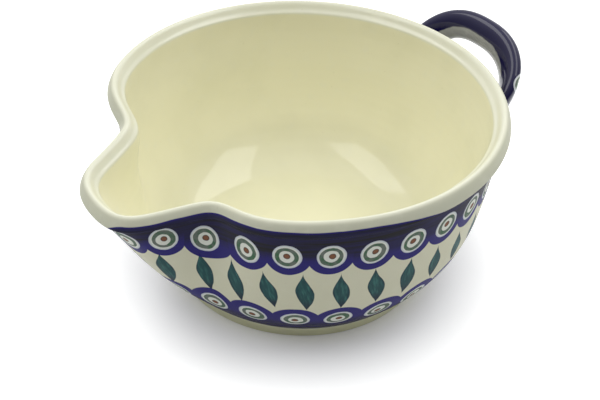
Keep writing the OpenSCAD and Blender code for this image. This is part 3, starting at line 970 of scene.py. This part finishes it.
def make_slip(side_sign, name, node):
    """The smoothed slip round one root, a hollow fillet from the side to the strap."""
    quarter = np.radians(np.linspace(0, 90, FILLET_STEPS + 1))
    rings = [root_ring(SLIP_FILLET * s, SEAT_GAP) for s in (0.0, 0.5, 1.0)]
    rings += [root_ring(SLIP_FILLET * (1 - math.sin(a)), SLIP_TOP + SLIP_FILLET * (1 - math.cos(a)))
              for a in quarter]
    rings.append(root_ring(0, SLIP_TOP))
    rings = [ring * [1, side_sign, 1] + AXIS for ring in rings]
    if side_sign < 0:
        rings = [np.roll(ring[::-1], 1, axis=0) for ring in rings]
    obj, _ = grid_mesh(name, rings, rings[0].mean(0), rings[-1].mean(0))
    strap_coordinates(obj, rings, [])
    obj.data.materials.append(handle_material("slip_paint"))
    finish_piece(obj, node)


# ----------------------------------------------------- stage, light and camera
# The floor glows only away from the bowl: round the bowl its glow fades out, a painted shadow over
# the real shadow under it
GLOW_FROM, GLOW_TO, GLOW = 0.07, 0.14, 0.66
FLOOR_HALF, FLOOR_BELOW = 12.0, 0.1 * MM
PAPER = (0.86, 0.865, 0.87, 1)


def make_floor():
    """A plain white sheet that keeps the soft shadow, with a painted shadow round the bowl where
    its glow fades out.
    """
    mesh = bpy.data.meshes.new("floor")
    corners = [(FLOOR_HALF * a, FLOOR_HALF * b, 0) for a, b in ((-1, -1), (1, -1), (1, 1), (-1, 1))]
    mesh.from_pydata(corners, [], [(0, 1, 2, 3)])
    floor = bpy.data.objects.new("floor", mesh)
    bpy.context.scene.collection.objects.link(floor)
    floor.location.z = -FLOOR_BELOW
    n = Nodes("floor_paper")
    rays = n.node("ShaderNodeLightPath")
    through = n.math("MAXIMUM", rays.outputs["Is Glossy Ray"], rays.outputs["Is Transmission Ray"])
    seen = n.math("MAXIMUM", rays.outputs["Is Camera Ray"], through)
    paper = n.node("ShaderNodeBsdfDiffuse")
    n.put(paper.inputs["Color"], PAPER)
    glow = n.node("ShaderNodeEmission")
    x, y, _ = n.split(n.place())
    # Painted shadow: the glow fades to nothing toward the bowl
    past = n.sub(length_of(n, x, y), GLOW_FROM)
    away = n.math("DIVIDE", past, GLOW_TO - GLOW_FROM, clamp=True)
    n.put(glow.inputs["Strength"], n.mul(n.mul(seen, away), GLOW))
    both = n.node("ShaderNodeAddShader")
    n.tree.links.new(paper.outputs[0], both.inputs[0])
    n.tree.links.new(glow.outputs[0], both.inputs[1])
    out = n.node("ShaderNodeOutputMaterial")
    n.tree.links.new(both.outputs[0], out.inputs[0])
    mesh.materials.append(n.material)


# Azimuth and elevation of the sky's bright side, which lies behind the bowl, and how the
# sky goes from dark to bright with the cosine of the angle from there
SKY_BRIGHT = (52, 47)
SKY_FROM, SKY_TO, SKY_LOW, SKY_HIGH = -0.4, 0.85, 0.06, 0.85
# The softboxes' distance, sides and radiance, and the height above the floor that they face
BOX_AWAY, BOX_W, BOX_H, BOX_RADIANCE, BOX_AIM = 0.95, 0.42, 1.1, 1.95, 0.08
# The camera that was fitted to the photograph, in the row frame
CAMERA_PLACE = Vector((-338.854, -424.98, 462.725)) * MM
CAMERA_RIGHT = Vector((0.80176, -0.59678, 0.03221))
CAMERA_UP = Vector((0.34765, 0.50954, 0.78709))
SENSOR_W, LENS, CLIP_NEAR, CLIP_FAR = 36, 65.94, 0.01, 50


def direction(azimuth, elevation):
    """A unit vector from angles in degrees in the row frame."""
    a, e = math.radians(azimuth), math.radians(elevation)
    return Vector((math.cos(e) * math.cos(a), math.cos(e) * math.sin(a), math.sin(e)))


def make_world():
    """A soft sky, brighter behind the bowl; the white round the bowl is the floor's own."""
    world = bpy.data.worlds.new("studio")
    world.use_nodes = True
    tree = world.node_tree
    tree.nodes.clear()
    place = tree.nodes.new("ShaderNodeTexCoord")
    toward = tree.nodes.new("ShaderNodeVectorMath")
    toward.operation = "DOT_PRODUCT"
    toward.inputs[1].default_value = direction(*SKY_BRIGHT)
    tree.links.new(place.outputs["Generated"], toward.inputs[0])
    light = tree.nodes.new("ShaderNodeMapRange")
    light.interpolation_type = "SMOOTHSTEP"
    for key, value in (("From Min", SKY_FROM), ("From Max", SKY_TO),
                       ("To Min", SKY_LOW), ("To Max", SKY_HIGH)):
        light.inputs[key].default_value = value
    tree.links.new(toward.outputs["Value"], light.inputs["Value"])
    sky = tree.nodes.new("ShaderNodeBackground")
    sky.inputs["Color"].default_value = (1, 1, 1, 1)
    tree.links.new(light.outputs[0], sky.inputs["Strength"])
    out = tree.nodes.new("ShaderNodeOutputWorld")
    tree.links.new(sky.outputs[0], out.inputs[0])
    bpy.context.scene.world = world


def make_softbox(name, azimuth, elevation):
    """A soft panel that faces the bowl."""
    light = bpy.data.lights.new(name, "AREA")
    light.shape = "RECTANGLE"
    light.size, light.size_y = BOX_W, BOX_H
    light.energy = BOX_RADIANCE * math.pi * BOX_W * BOX_H
    lamp = bpy.data.objects.new(name, light)
    bpy.context.scene.collection.objects.link(lamp)
    back = direction(azimuth, elevation)
    lamp.location = back * BOX_AWAY + Vector((0, 0, BOX_AIM))
    lamp.rotation_mode = "QUATERNION"
    lamp.rotation_quaternion = back.to_track_quat("Z", "X")


def make_camera():
    """The photograph's view: from the front left of the spout, 38 degrees up."""
    data = bpy.data.cameras.new("camera")
    data.sensor_width, data.lens = SENSOR_W, LENS
    data.clip_start, data.clip_end = CLIP_NEAR, CLIP_FAR
    camera = bpy.data.objects.new("camera", data)
    bpy.context.scene.collection.objects.link(camera)
    back = CAMERA_RIGHT.cross(CAMERA_UP).normalized()
    up = back.cross(CAMERA_RIGHT).normalized()
    turn = Matrix((CAMERA_RIGHT.normalized(), up, back)).transposed()
    camera.matrix_world = Matrix.Translation(CAMERA_PLACE) @ turn.to_4x4()
    bpy.context.scene.camera = camera


make_bowl()
make_handle()
make_slip(1, "left_slip_fillet", "left_root_slip")
make_slip(-1, "right_slip_fillet", "right_root_slip")
make_floor()
make_world()
make_softbox("softbox_right", -18, 57)
make_softbox("softbox_left", 146, 57)
make_camera()
bpy.context.scene.view_settings.view_transform = "Standard"
